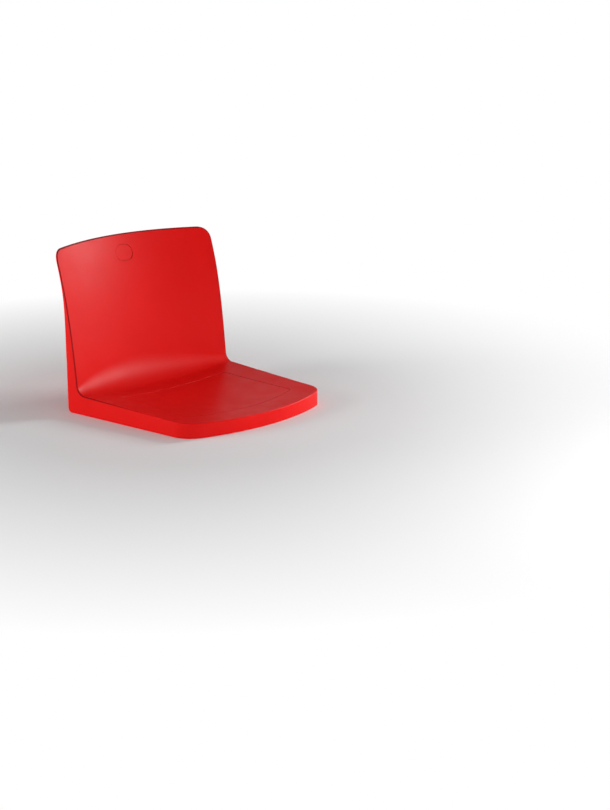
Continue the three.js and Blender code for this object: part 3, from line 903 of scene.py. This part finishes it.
def plasticMaterial(name, tint=1.0, rimShaded=False):
    made = Nodes(name)
    tone = tuple(c * tint for c in plastic["tone"])
    deep = tuple(c * tint for c in plastic["deep"])
    patches = made.ramp(made.noise(*plastic["patches"]), *plastic["patchRange"], 0, 1)
    colour = made.blend(patches, tone, deep)
    # painted shade: the gap edges darkened towards the rim line's dark tone
    gaps = made.ramp(made.attribute("gapShadeEdge"), 0, 1, 0, gapShade["depth"])
    colour = made.blend(gaps, colour, rimShadeLine["tone"])
    # painted shade: the darker line along the moulding's rim
    if rimShaded:
        distance = made.attribute("rimDistance")
        near = made.ramp(distance, rimShadeLine["full"], rimShadeLine["end"], rimShadeLine["depth"], 0)
        dark = made.calc("MULTIPLY", near, made.attribute("rimShadeShown"))
        colour = made.blend(dark, colour, rimShadeLine["tone"])
    made.link(colour, made.shader.inputs["Base Color"])
    rough = made.ramp(made.noise(*plastic["wear"]), *plastic["wearRange"], *plastic["rough"])
    made.link(rough, made.shader.inputs["Roughness"])
    made.shader.inputs["IOR"].default_value = plastic["ior"]
    made.shader.inputs["Specular IOR Level"].default_value = plastic["specular"]
    flow = made.bump(made.noise(*plastic["flow"]), *plastic["flowBump"])
    grain = made.bump(made.noise(*plastic["grain"]), *plastic["grainBump"], flow)
    made.link(grain, made.shader.inputs["Normal"])
    return made.material


steel = {"mottle": (120, 4), "scuffs": (700, 3), "scuffBump": (0.2, 0.0001)}
galvanised = {
    "light": (0.56, 0.58, 0.6), "dark": (0.36, 0.38, 0.4), "rough": (0.34, 0.52), "spangle": 170,
}
zincPlated = {"light": (0.72, 0.74, 0.77), "dark": (0.58, 0.6, 0.62), "rough": (0.24, 0.36)}


# steel with a spangled or a mottled zinc coat
def steelMaterial(name, coat):
    made = Nodes(name)
    if "spangle" in coat:
        cells = made.add("ShaderNodeTexVoronoi")
        cells.inputs["Scale"].default_value = coat["spangle"]
        made.link(made.place, cells.inputs["Vector"])
        split = made.add("ShaderNodeSeparateColor")
        made.link(cells.outputs["Color"], split.inputs["Color"])
        grain = split.outputs["Red"]
    else:
        grain = made.noise(*steel["mottle"])
    made.link(made.blend(grain, coat["light"], coat["dark"]), made.shader.inputs["Base Color"])
    made.link(made.ramp(grain, 0, 1, *coat["rough"]), made.shader.inputs["Roughness"])
    made.shader.inputs["Metallic"].default_value = 1
    scuffs = made.bump(made.noise(*steel["scuffs"]), *steel["scuffBump"])
    made.link(scuffs, made.shader.inputs["Normal"])
    return made.material


def dress(piece, material):
    piece.data.materials.clear()
    piece.data.materials.append(material)


dress(shell, plasticMaterial("red moulding", rimShaded=True))
dress(panCover, plasticMaterial("red cover", cover["tint"]))
dress(numberPlate, plasticMaterial("red plate", plate["tint"]))
railSteel = steelMaterial("galvanised sheet", galvanised)
fixingSteel = steelMaterial("zinc plating", zincPlated)
for name, node in nodes.items():
    if name.endswith("fixing_rail"):
        dress(node, railSteel)
    elif name.startswith(("seat_stud", "stud_washer", "stud_nut")):
        dress(node, fixingSteel)
print("materials made")

# The floor's half width, and the distances where it turns white, in metres
stage = {
    "half": 9.0, "tone": (0.9, 0.9, 0.905), "clouds": (1.7, 2), "cloudShade": 0.97, "rough": 0.75,
    "fadeStart": 0.45, "fadeEnd": 1.3,
}


# a pale floor that turns white away from the seat, where it is seen or mirrored
def floorMaterial():
    made = Nodes("pale floor")
    made.shader.inputs["Roughness"].default_value = stage["rough"]
    shade = tuple(c * stage["cloudShade"] for c in stage["tone"])
    clouds = made.blend(made.noise(*stage["clouds"]), stage["tone"], shade)
    made.link(clouds, made.shader.inputs["Base Color"])
    distance = made.add("ShaderNodeVectorMath", operation="LENGTH")
    made.link(made.place, distance.inputs[0])
    fade = made.ramp(distance.outputs["Value"], stage["fadeStart"], stage["fadeEnd"], 0, 1)
    path = made.add("ShaderNodeLightPath")
    shown = path.outputs["Is Camera Ray"]
    for kind in ("Is Glossy Ray", "Is Transmission Ray"):
        shown = made.calc("MAXIMUM", shown, path.outputs[kind])
    white = made.add("ShaderNodeEmission")
    white.inputs["Color"].default_value = (1, 1, 1, 1)
    join = made.add("ShaderNodeMixShader")
    made.link(made.calc("MULTIPLY", fade, shown), join.inputs[0])
    made.link(made.shader.outputs[0], join.inputs[1])
    made.link(white.outputs[0], join.inputs[2])
    made.link(join.outputs[0], made.tree.nodes["Material Output"].inputs["Surface"])
    return made.material


def floorPiece():
    mesh = bmesh.new()
    half = stage["half"]
    sides = ((-half, -half), (half, -half), (half, half), (-half, half))
    mesh.faces.new([mesh.verts.new((x, y, 0)) for x, y in sides])
    floor = fromEdited("studioFloor", mesh)
    dress(floor, floorMaterial())


floorPiece()

studio = {"horizon": 1.0, "sky": 0.24, "from": 0.0, "to": 0.1}


# white at the horizon, where it meets the floor, and a soft grey above
def studioWorld():
    world = bpy.data.worlds.new("studio")
    bpy.context.scene.world = world
    world.use_nodes = True
    tree = world.node_tree
    place = tree.nodes.new("ShaderNodeTexCoord")
    split = tree.nodes.new("ShaderNodeSeparateXYZ")
    tree.links.new(place.outputs["Generated"], split.inputs[0])
    level = tree.nodes.new("ShaderNodeMapRange")
    level.interpolation_type = "SMOOTHSTEP"
    level.inputs["From Min"].default_value = studio["from"]
    level.inputs["From Max"].default_value = studio["to"]
    level.inputs["To Min"].default_value = studio["horizon"]
    level.inputs["To Max"].default_value = studio["sky"]
    tree.links.new(split.outputs["Z"], level.inputs["Value"])
    background = tree.nodes["Background"]
    background.inputs["Color"].default_value = (1, 1, 1, 1)
    tree.links.new(level.outputs["Result"], background.inputs["Strength"])


studioWorld()

aimHeight = 0.12
# Places and sizes in metres and power in watts; the gloss shows only the mirrored ones
lamps = {
    "rightKey": {"at": (2.3, -0.7, 1.3), "size": (0.8, 1.2), "power": 33.5, "mirrored": True},
    "rightLow": {"at": (1.85, -0.7, 0.6), "size": (1.4, 0.5), "power": 2, "mirrored": True},
    "rearStrip": {"at": (1.58, 1.39, 0.85), "size": (0.18, 0.9), "power": 0.3, "mirrored": True},
    "frontLow": {"at": (0.3, -1.45, 0.2), "size": (1.2, 0.3), "power": 11.5, "mirrored": False},
    "leftSide": {"at": (-2.6, 1.1, 0.65), "size": (1.4, 1.2), "power": 54, "mirrored": False},
}


def softLamp(name, at, size, power, mirrored):
    light = bpy.data.lights.new(name, "AREA")
    light.shape, light.energy = "RECTANGLE", power
    light.size, light.size_y = size
    lamp = placed(name, light)
    lamp.visible_camera, lamp.visible_glossy = False, mirrored
    lamp.location = at
    lamp.rotation_mode = "QUATERNION"
    lamp.rotation_quaternion = (Vector((0, 0, aimHeight)) - Vector(at)).to_track_quat("-Z", "Y")


for name, lamp in lamps.items():
    softLamp(name, **lamp)

# The photo's view: angles in degrees, focus and frame in pixels, sensor in mm, the rest in metres
viewpoint = {
    "azimuth": -47.03, "elevation": 15.02, "focus": 1716.0, "frameHeight": 810,
    "aside": -0.2436, "above": 0.0006, "distance": 3.7542, "forward": -0.0013, "sensor": 36,
}


def photoCamera():
    a, e = math.radians(viewpoint["azimuth"]), math.radians(viewpoint["elevation"])
    back = Vector((math.sin(a) * math.cos(e), -math.cos(a) * math.cos(e), math.sin(e)))
    right = Vector((math.cos(a), math.sin(a), 0))
    up = back.cross(right)
    data = bpy.data.cameras.new("photoView")
    data.sensor_width = viewpoint["sensor"]
    data.lens = viewpoint["focus"] * data.sensor_width / viewpoint["frameHeight"]
    camera = placed("photoView", data)
    stand = Matrix((right, up, back)).transposed().to_4x4()
    stand.translation = (viewpoint["distance"] * back - viewpoint["aside"] * right
                         - viewpoint["above"] * up + Vector((0, viewpoint["forward"], 0)))
    camera.matrix_world = stand
    bpy.context.scene.camera = camera


photoCamera()
bpy.context.scene.view_settings.view_transform = "Standard"
print("stage, lamps and camera placed")

bpy.context.view_layer.update()
